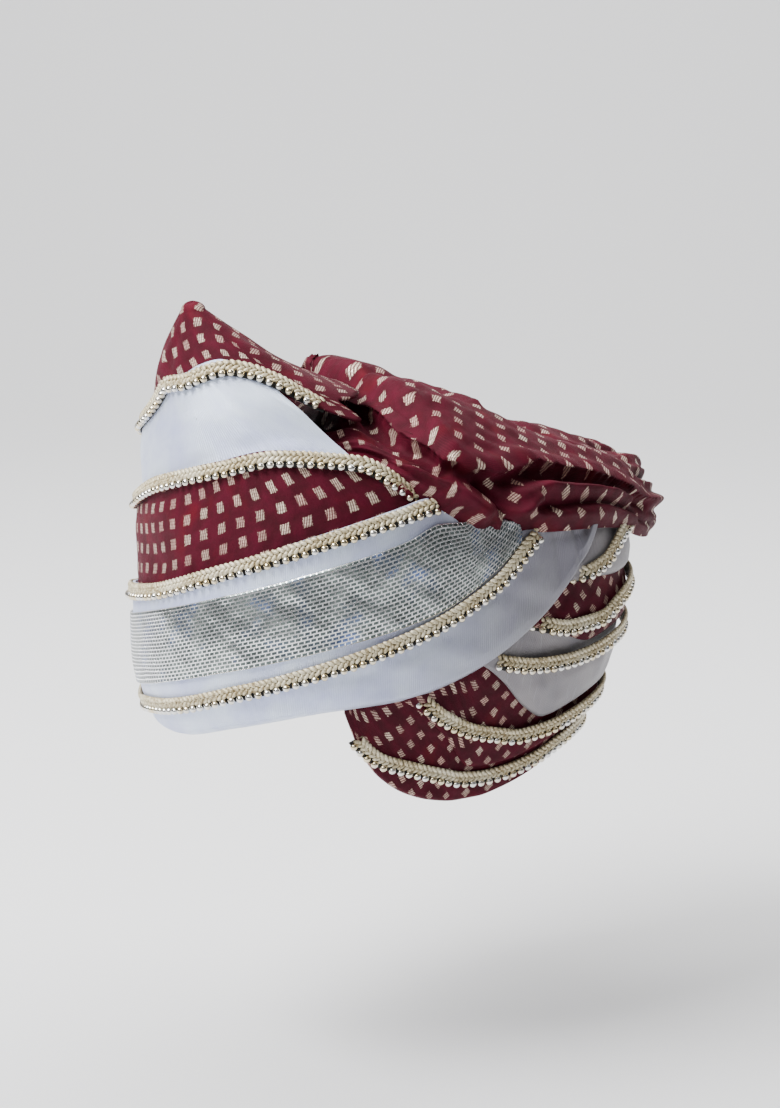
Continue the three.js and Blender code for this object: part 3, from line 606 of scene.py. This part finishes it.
def ribbonUv(turn, share, dress=ribbonDress):  # the mesh cells narrow and widen with the ribbon
    def middleAt(a):
        return formPoint(a, (fanAt("meshLow", a) + fanAt("meshTop", a)) / 2)

    places, lengths = lengthAlong(*dress["turns"], middleAt)
    wide = fanAt("meshTop", places) - fanAt("meshLow", places)
    ratio = np.clip(wide / dress["fullWidth"], *dress["cellRange"])
    steps = np.concatenate([[0], np.cumsum(np.diff(lengths) / ratio[1:])])
    return np.stack([np.interp(turn, places, steps), share * np.interp(turn, places, wide / ratio)], -1)


ribbon = bandPiece("meshRibbonCloth", ribbonDress, lambda a: fanAt("meshLow", a), lambda a: fanAt("meshTop", a),
                   ribbonLift, meshCloth, uvAt=ribbonUv)
print("front fan dressed")

napeDress = {"under": 6, "leastHigh": 12, "topEdge": 86, "lapTo": 7, "rimHem": 1.6, "hem": 1.0, "hemHigh": 2.6,
             "wave": 0.35, "rippleSize": 22}
napeWraps = [  # name, turns, low edge, edge above, material, detail, seed
    ("napeClothA", (44, 311), "rim", "lowB", maroonBias, (260, 30), 31),
    ("napeClothB", (57, 292), "lowB", "lowC", maroonBias, (240, 40), 32),
    ("napeClothC", (78, 275), "lowC", "lowD", satinNapePaintedShade, (220, 40), 33),
    ("napeClothD", (96, 261), "lowD", "lowE", maroonBias, (200, 36), 34),
    ("napeClothE", (112, 248), "lowE", None, satinNapePaintedShade, (180, 30), 35)]


def napeBand(name, turns, lowName, aboveName, material, detail, seed, dress=napeDress):
    def underFan(turn):
        return fanAt("rim", np.where(turn > 180, turn - 360, turn)) + lapDepth

    def lowAt(turn):
        return napeAt(lowName, turn)

    def highAt(turn):
        cover = napeAt(aboveName, turn) if aboveName else dress["topEdge"] + 0 * turn
        return np.minimum(cover + dress["under"], np.maximum(underFan(turn), lowAt(turn) + dress["leastHigh"]))

    def liftAt(turn, height):
        low, high = lowAt(turn), highAt(turn)
        cover = napeAt(aboveName, turn) if aboveName else high
        atRim = lowName == "rim"
        edge = 0.0 if atRim else lapLift
        lappedTo = low + dress["lapTo"]
        flatFrom = np.maximum(lappedTo + 1, np.minimum(cover, high) - 2)
        hem = dress["rimHem" if atRim else "hem"] * (1 - smooth(height, low - 0.3, low + dress["hemHigh"])) ** 2
        clear = smooth(height, low + 2, low + 8) * (1 - smooth(height, cover - 8, cover - 2))
        waves = dress["wave"] * clear * ripple(turn * 1.6, height * 1.4, seed, dress["rippleSize"])
        return clothLift + edge * (1 - smooth(height, lappedTo, flatFrom)) - hem + waves

    return bandPiece(name, {"turns": turns, "detail": detail}, lowAt, highAt, liftAt, material)


napeA, napeB, napeC, napeD, napeE = (napeBand(*row) for row in napeWraps)
print("nape flap dressed")

crownColumns = ("run", "near", "nearFoot", "top", "far", "farFoot")
crownRows = np.array([
    (-76, 20, 130, 136, 20, 130), (-66, 50, 126, 138, 50, 125), (-58, 64, 125, 140, 64, 122),
    (-53, 75, 122, 141, 75, 120), (-47, 84, 118, 142, 84, 119), (-40, 90, 112, 143, 90, 111),
    (-34, 94, 107, 146, 94, 107), (-27, 96, 103, 156, 96, 104), (-20, 97, 100, 156, 97, 101),
    (-8, 98, 98, 150, 98, 98), (15, 98, 94, 141, 98, 94), (40, 94, 92, 129, 93, 91), (70, 82, 87, 120, 82, 86),
    (98, 62, 76, 111, 62, 76), (116, 42, 73, 106, 42, 74), (125, 22, 77, 96, 22, 77),
    (128, 10, 82, 89, 10, 82)], float)
arcScale = 1.45  # millimetres of arch to a degree
rollEdge = [(-27, 99), (-32, 90), (-36, 80), (-36, 70), (-39, 55), (-38, 43), (-33, 36), (-31, 27), (-24, 21),
            (-10, 22), (4, 28), (14, 33), (28, 35), (50, 35), (66, 32), (80, 26), (97, 22)]
crownRidges = [  # line over the cloth as (run, angle), rise, spread
    ([(-46, 84), (-51, 64), (-56, 42), (-56, 22)], 4.0, 4.5),
    ([(-25, 106), (-32, 97), (-42, 87), (-47, 77), (-50, 62)], 4.5, 3.0),
    ([(-38, 106), (-47, 94), (-53, 80), (-57, 62)], -4.0, 3.5),
    ([(8, 66), (11, 84), (15, 108)], 3.2, 3.2),
    ([(0, 70), (3, 90), (6, 112)], -3.6, 2.4),
    ([(-45, 14), (-34, 13), (-26, 8), (-17, 4)], 6.5, 5.0),
    ([(4, 15), (18, 20), (39, 22), (57, 22), (74, 19)], 6.0, 5.5),
    ([(-6, 2), (2, 6), (10, 12)], 4.5, 3.5),
    ([(-16, 16), (-8, 9), (-3, 2)], -7.0, 3.5),
    ([(12, 9), (31, 13), (55, 16), (80, 12)], -3.5, 3.5),
    ([(-30, 84), (-14, 80), (-2, 83)], -2.6, 3.0),
    ([(-24, 90), (-8, 88), (6, 92)], 2.0, 6.0),
    ([(44, 100), (49, 82), (60, 66), (80, 58)], -4.0, 5.0),
    ([(-30, 62), (0, 60), (40, 55), (80, 50)], 2.6, 14.0),
    ([(60, 84), (90, 84)], 2.5, 9.0),
    ([(96, 76), (112, 78), (124, 80)], -5.5, 4.0),
    ([(100, 44), (114, 40), (124, 38)], -6.0, 4.0),
    ([(88, 8), (106, 6), (122, 8)], -3.0, 4.0),
    ([(104, 60), (122, 60)], 3.0, 7.0),
    ([(100, 22), (120, 22)], 3.0, 7.0),
    ([(-30, 122), (20, 124), (90, 120)], -4.0, 7.0),
    ([(-20, 106), (40, 106), (100, 104)], 2.5, 8.0),
    ([(-30, 140), (20, 142), (90, 138)], 3.5, 9.0),
    ([(-34, 158), (20, 158), (96, 156)], -5.0, 6.0)]


def toLine(run, angle, line):
    place = np.stack([run, angle * arcScale], -1)
    best, side = np.full(len(place), 1e9), np.zeros(len(place))
    corners = np.array(line, float) * (1, arcScale)
    for a, b in zip(corners[:-1], corners[1:]):
        edge = b - a
        share = np.clip(((place - a) @ edge) / (edge @ edge), 0, 1)
        gap = place - (a + share[:, None] * edge)
        away = np.hypot(gap[:, 0], gap[:, 1])
        closer = away < best
        best = np.where(closer, away, best)
        side = np.where(closer, np.sign(edge[0] * gap[:, 1] - edge[1] * gap[:, 0]), side)
    return best, side


crownDress = {
    "start": -76, "length": 204, "footShare": 1.2, "fullness": 0.8, "tuck": 6.5, "drop": 1.5, "wrinkle": 0.75,
    "pleat": 1.3, "frontPleat": 0.8, "deepest": -13, "highest": 7.5, "detail": (236, 200)}
rollDress = {"slide": 3.6, "slideAt": 1.5, "slideSpread": 2.6, "lip": 2.4, "lipAt": 4, "lipSpread": 6,
             "lipFall": 1.5, "hollow": 9.5, "hollowStart": 2.6, "hollowFade": 17}
behindPeak = {"deep": 11, "angle": 124, "angleSpread": 17, "run": -27, "runSpread": 18}


def crownArch(run, angle):
    across, up = np.cos(np.radians(angle)), np.maximum(np.sin(np.radians(angle)), 0)
    near, nearFoot, top, far, farFoot = (along(crownColumns, crownRows, name, run) for name in crownColumns[1:])
    reach, foot = np.where(across > 0, near, far), np.where(across > 0, nearFoot, farFoot)
    full = crownDress["fullness"]
    return np.stack([np.sign(across) * reach * np.abs(across) ** full, run, foot + (top - foot) * up ** full], -1)


def crownSpot(s, t):
    return crownDress["start"] + crownDress["length"] * s, 180 * t ** crownDress["footShare"]


def crownNet(s, t):
    return crownArch(*crownSpot(s, t))


def rollRelief(run, angle, dress=rollDress):  # the lip and the undercut along the edge of the roll
    away, side = toLine(run, angle, rollEdge)
    edge = away * side
    reach = smooth(-run, -104, -84) * (1 - smooth(angle, 96, 112))
    slide = -dress["slide"] * bump(edge - dress["slideAt"], dress["slideSpread"]) * reach
    byRun = toLine(run + 0.5, angle, rollEdge)[0] - toLine(run - 0.5, angle, rollEdge)[0]
    byAngle = toLine(run, angle + 0.35, rollEdge)[0] - toLine(run, angle - 0.35, rollEdge)[0]
    runMoved = run + slide * (byRun * side)
    angleMoved = np.clip(angle + slide * (byAngle * side) / arcScale, 0, 180)
    dip = np.where(edge < 0, (1 - np.exp(edge / dress["hollowStart"])) * np.exp(edge / dress["hollowFade"]), 0)
    below = np.exp(edge / dress["lipFall"]) * bump(dress["lipAt"], dress["lipSpread"])
    lip = np.where(edge > 0, bump(edge - dress["lipAt"], dress["lipSpread"]), below)
    return runMoved, angleMoved, reach * (dress["lip"] * lip - dress["hollow"] * dip)


def foldRelief(run, angle):
    rise = 0
    for line, high, spread in crownRidges:
        rise = rise + high * bump(toLine(run, angle, line)[0], spread)
    atAngle = bump(angle - behindPeak["angle"], behindPeak["angleSpread"])
    rise = rise - behindPeak["deep"] * atAngle * bump(run - behindPeak["run"], behindPeak["runSpread"])
    broad = ripple(run * 0.42, angle * arcScale, 51, 17, 12) * 0.6
    wrinkle = broad + ripple(run * 0.8, angle * arcScale, 52, 8, 9) * 0.28
    pleats = np.sin(angle * 0.42 + 1.4 * np.sin(run * 0.05)) * smooth(run, 84, 118)
    frontPleats = np.sin(angle * 0.30 + run * 0.12) * smooth(-run, 34, 56)
    pleats = pleats + crownDress["frontPleat"] * frontPleats
    return rise + crownDress["wrinkle"] * wrinkle + crownDress["pleat"] * pleats


def crownNormal(run, angle, step=0.6):
    byRun = crownArch(run + step, angle) - crownArch(run - step, angle)
    inner = np.clip(angle, 2, 178)
    byAngle = crownArch(run, inner + step) - crownArch(run, inner - step)
    out = np.cross(byRun, byAngle)
    return out / np.maximum(np.linalg.norm(out, axis=1, keepdims=True), 1e-9)


def crownPlace(s, t):
    run, angle = crownSpot(s, t)
    ends = np.minimum(smooth(run, -76, -60), 1 - smooth(run, 122, 128))
    runMoved, angleMoved, rise = rollRelief(run, angle)
    rise = np.clip(rise + foldRelief(run, angle), crownDress["deepest"], crownDress["highest"])
    rise = rise * ends * smooth(180 - angle, 0, 8)
    point = crownArch(runMoved, angleMoved) + crownNormal(runMoved, angleMoved) * rise[:, None]
    low = (1 - smooth(np.minimum(angle, 180 - angle), 0, 9)) ** 2
    point[:, 0] -= np.sign(90 - angle) * crownDress["tuck"] * low * ends
    point[:, 2] -= crownDress["drop"] * low
    return point


crownUv = measuredUv(crownNet, 0.5, 0.56)
crown = clothPiece("crownCloth", *crownDress["detail"], crownPlace, crownUv, clothWall, maroonRoll)
print("crown cloth dressed")

laceDress = {
    "braid": 4.8, "bead": 2.8, "beadFull": 1.22, "beadShape": (1, 1, 0.95), "beadPitch": 4.2, "beadDown": 0.42,
    "beadOut": 1.5, "stitch": (2.05, 0.95, 0.85), "stitchPitch": 2.5, "stitchOut": 1.05, "lean": 38,
    "tilt": (0.985, 0.17), "rows": ((0.27, 1), (0.73, -1)), "tapeWall": 0.5, "tapeOut": 0.55,
    "tapeInset": (0.8, 0.5), "tapeStep": 3, "lift": lapLift + 1.85, "lowLift": 1.9, "outerLift": 2.0,
    "dive": 4.2, "lowDive": 1.0, "diveTurns": 6}
laceRows = [  # name, node, first and last turn, line, how it lies
    ("frontLace1", "front_lace_1", -61, 80, "lace1", None),
    ("frontLace2", "front_lace_2", -97, 68, "lace2", None),
    ("frontLace3", "front_lace_3", -108, 74, "lace3", None),
    ("frontLace4", "front_lace_4", -98, 103, "lace4", "outer"),
    ("napeLaceA", "nape_lace_a", 46, 297, "laceA", "low"),
    ("napeLaceB", "nape_lace_b", 61, 283, "laceB", None),
    ("napeLaceC", "nape_lace_c", 83.5, 266, "laceC", None),
    ("napeLaceD", "nape_lace_d", 98, 258, "laceD", None),
    ("napeLaceE", "nape_lace_e", 112, 247, "laceE", None)]


def modelOnce(name, material, radius, size, segments, rings):
    bpy.ops.object.select_all(action="DESELECT")
    bpy.ops.mesh.primitive_uv_sphere_add(segments=segments, ring_count=rings, radius=radius * mm)
    made = bpy.context.object
    made.name = name
    bpy.ops.object.mode_set(mode="EDIT")
    bpy.ops.mesh.select_all(action="SELECT")
    bpy.ops.transform.resize(value=size)
    bpy.ops.object.mode_set(mode="OBJECT")
    bpy.ops.object.shade_smooth()
    made.data.materials.append(material)
    return made


stitchModel = modelOnce("stitchModel", braidThread, 1.0, laceDress["stitch"], 8, 6)
beadRadius = laceDress["bead"] / 2 * laceDress["beadFull"]
beadModel = modelOnce("beadModel", beadMetal, beadRadius, laceDress["beadShape"], 12, 8)


def unit(rows):
    return rows / np.linalg.norm(rows, axis=-1, keepdims=True)


def laceRoute(first, last, line, lies, dress=laceDress):
    def middleAt(turn):
        return fanAt(line, turn) if line in fanColumns else napeAt(line, turn)

    def liftAt(turn):
        if lies == "outer":
            return outerLift(turn, middleAt(turn)) + dress["outerLift"]
        return (dress["lowLift"] if lies == "low" else dress["lift"]) + 0 * turn

    def tuckedAt(turn):
        depth = dress["lowDive"] if lies == "low" else dress["dive"]
        return liftAt(turn) - depth * (1 - smooth(np.minimum(turn - first, last - turn), 0, dress["diveTurns"]))

    def tuckedPoint(turn):
        return lifted(turn, middleAt(turn), tuckedAt(turn))

    def seatAt(turn):
        turn = np.atleast_1d(np.asarray(turn, float))
        ahead = unit(tuckedPoint(turn + 0.4) - tuckedPoint(turn - 0.4))
        up = unit(np.cross(formNormal(turn, middleAt(turn)), ahead))
        return tuckedPoint(turn) - up * (dress["braid"] - dress["bead"]) / 2, ahead, up, np.cross(ahead, up)

    turns, lengths = lengthAlong(first, last, lambda turn: lifted(turn, middleAt(turn), liftAt(turn)), 1500)
    return seatAt, turns, lengths


def putCopy(source, place, axes):
    copy = source.copy()
    copy.data = source.data.copy()
    bpy.context.collection.objects.link(copy)
    copy.matrix_world = Matrix.Translation(Vector(place) * mm) @ Matrix(axes).transposed().to_4x4()
    return copy


def laceTape(name, seats, total, dress=laceDress):
    wide = dress["braid"] + dress["bead"]
    narrower, raised = dress["tapeInset"]

    def place(s, t):
        seat, ahead, up, out = seats(s * total)
        return seat + up * (t * (wide - narrower) - dress["bead"] + raised)[:, None] + out * dress["tapeOut"]

    def uv(s, t):
        return np.stack([s * total, t * wide], -1)

    return clothPiece(name, max(60, int(total / dress["tapeStep"])), 3, place, uv, dress["tapeWall"], tapeCloth)


def laceStitches(seats, total, dress=laceDress):  # two rows of leaning stitches, which make the plait
    lean, pitch, copies = math.radians(dress["lean"]), dress["stitchPitch"], []
    for row, (across, sign) in enumerate(dress["rows"]):
        for p, f, u, o in zip(*seats(np.arange(1.5 + row * pitch / 2, total - 1.5, pitch))):
            longWay = f * math.cos(lean) + u * sign * math.sin(lean)
            tilted = unit(longWay * dress["tilt"][0] - o * dress["tilt"][1] * sign)
            crossWay = unit(np.cross(o, tilted))
            spot = p + u * across * dress["braid"] + o * dress["stitchOut"]
            copies.append(putCopy(stitchModel, spot, (tilted, crossWay, np.cross(tilted, crossWay))))
    return copies


def laceBeads(seats, total, dress=laceDress):
    copies = []
    for p, f, u, o in zip(*seats(np.arange(2.2, total - 1.6, dress["beadPitch"]))):
        spot = p - u * dress["bead"] * dress["beadDown"] + o * dress["beadOut"]
        copies.append(putCopy(beadModel, spot, (f, u, o)))
    return copies


def makeLace(name, node, first, last, line, lies):
    seatAt, turns, lengths = laceRoute(first, last, line, lies)
    total = lengths[-1]

    def seats(steps):
        return seatAt(np.interp(steps, lengths, turns))

    tape = laceTape(name, seats, total)
    copies = laceStitches(seats, total) + laceBeads(seats, total)
    bpy.ops.object.select_all(action="DESELECT")
    for copy in copies:
        copy.select_set(True)
    tape.select_set(True)
    bpy.context.view_layer.objects.active = tape
    bpy.ops.object.join()
    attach(tape, "root")
    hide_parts(node)
    return total


for row in laceRows:
    print("lace", row[0], "length", round(makeLace(*row)), "mm")
for model in (stitchModel, beadModel):
    bpy.data.objects.remove(model)


clothSheets = [  # piece, node, slot, size in metres, how it is held, what it rests on
    (peak, "peak_wrap", "maroon_cloth", (0.20, 0.056), "stretched", []),
    (silver, "silver_wrap", "silver_satin", (0.231, 0.045), "stretched", []),
    (maroon, "maroon_wrap", "maroon_cloth", (0.312, 0.045), "stretched", []),
    (outer, "front_silver_wrap", "silver_satin", (0.459, 0.057), "stretched", []),
    (ribbon, "mesh_ribbon", "silver_mesh", (0.365, 0.0255), "laid", ["front_silver_wrap"]),
    (crown, "crown_cloth", "maroon_cloth", (0.26, 0.23), "gathered", []),
    (napeA, "nape_wrap_a", "maroon_cloth", (0.409, 0.024), "stretched", []),
    (napeB, "nape_wrap_b", "maroon_cloth", (0.368, 0.023), "stretched", []),
    (napeC, "nape_wrap_c", "silver_satin", (0.326, 0.032), "stretched", []),
    (napeD, "nape_wrap_d", "maroon_cloth", (0.285, 0.028), "stretched", []),
    (napeE, "nape_wrap_e", "silver_satin", (0.241, 0.026), "stretched", [])]
for row in clothSheets:
    finishCloth(*row)

floorLook = {"height": -0.16, "width": 9.0, "length": 9.0, "front": 3.0, "flat": 1.6, "bend": 1.2, "steps": 60,
             "colour": (0.88, 0.88, 0.89, 1), "roughness": 0.8}


def makeFloor(look):  # a floor that sweeps up into a backdrop behind the object
    bpy.ops.object.select_all(action="DESELECT")
    bpy.ops.mesh.primitive_grid_add(x_subdivisions=1, y_subdivisions=look["steps"], size=1)
    floor = bpy.context.object
    floor.name = "studioFloor"
    for vertex in floor.data.vertices:
        across, run = vertex.co.x * look["width"], (vertex.co.y + 0.5) * look["length"] - look["front"]
        past = run - look["flat"]
        turned = min(max(past, 0) / look["bend"], math.pi / 2)
        deep = min(run, look["flat"]) + look["bend"] * math.sin(turned)
        high = look["bend"] * (1 - math.cos(turned)) + max(past - look["bend"] * math.pi / 2, 0)
        vertex.co = (across, deep, high + look["height"])
    floor.rotation_euler.z = math.radians(cameraLook["turn"])
    bpy.ops.object.transform_apply(location=True, rotation=True, scale=True)
    bpy.ops.object.shade_smooth()
    material, tree, shader = newMaterial("paleFloor", Roughness=look["roughness"])
    shader.inputs["Base Color"].default_value = look["colour"]
    floor.data.materials.append(material)
    return floor


makeFloor(floorLook)

worldLook = {"colour": (1, 1, 1, 1), "strength": 0.15}
world = bpy.context.scene.world or bpy.data.worlds.new("studio")
bpy.context.scene.world = world
world.use_nodes = True
background = world.node_tree.nodes["Background"]
background.inputs[0].default_value = worldLook["colour"]
background.inputs[1].default_value = worldLook["strength"]

lookTurn = math.radians(cameraLook["turn"])
behind = Vector((-math.sin(lookTurn), math.cos(lookTurn), 0))
softLights = [  # name, place, aim, size, power
    ("keyLight", (0.06, -0.90, 1.02), (0, 0, 0.08), 0.7, 44),
    ("fillLight", (1.22, -0.65, 0.88), (0, 0, 0.08), 1.0, 1.6),
    ("backLight", (-0.13, 0.74, 1.38), (0, 0, 0.08), 0.8, 2.5),
    ("backdropLight", behind * 0.5 + Vector((0, 0, 1.5)), behind * 2.6 + Vector((0, 0, 0.2)), 2.0, 70)]
for name, place, aim, size, power in softLights:
    back = (Vector(place) - Vector(aim)).normalized()
    bpy.ops.object.light_add(type="AREA", location=place)
    light = bpy.context.object
    light.name = name
    light.rotation_euler = (-back).to_track_quat("-Z", "Y").to_euler()
    light.data.size, light.data.energy = size, power
print("stage and lights set")
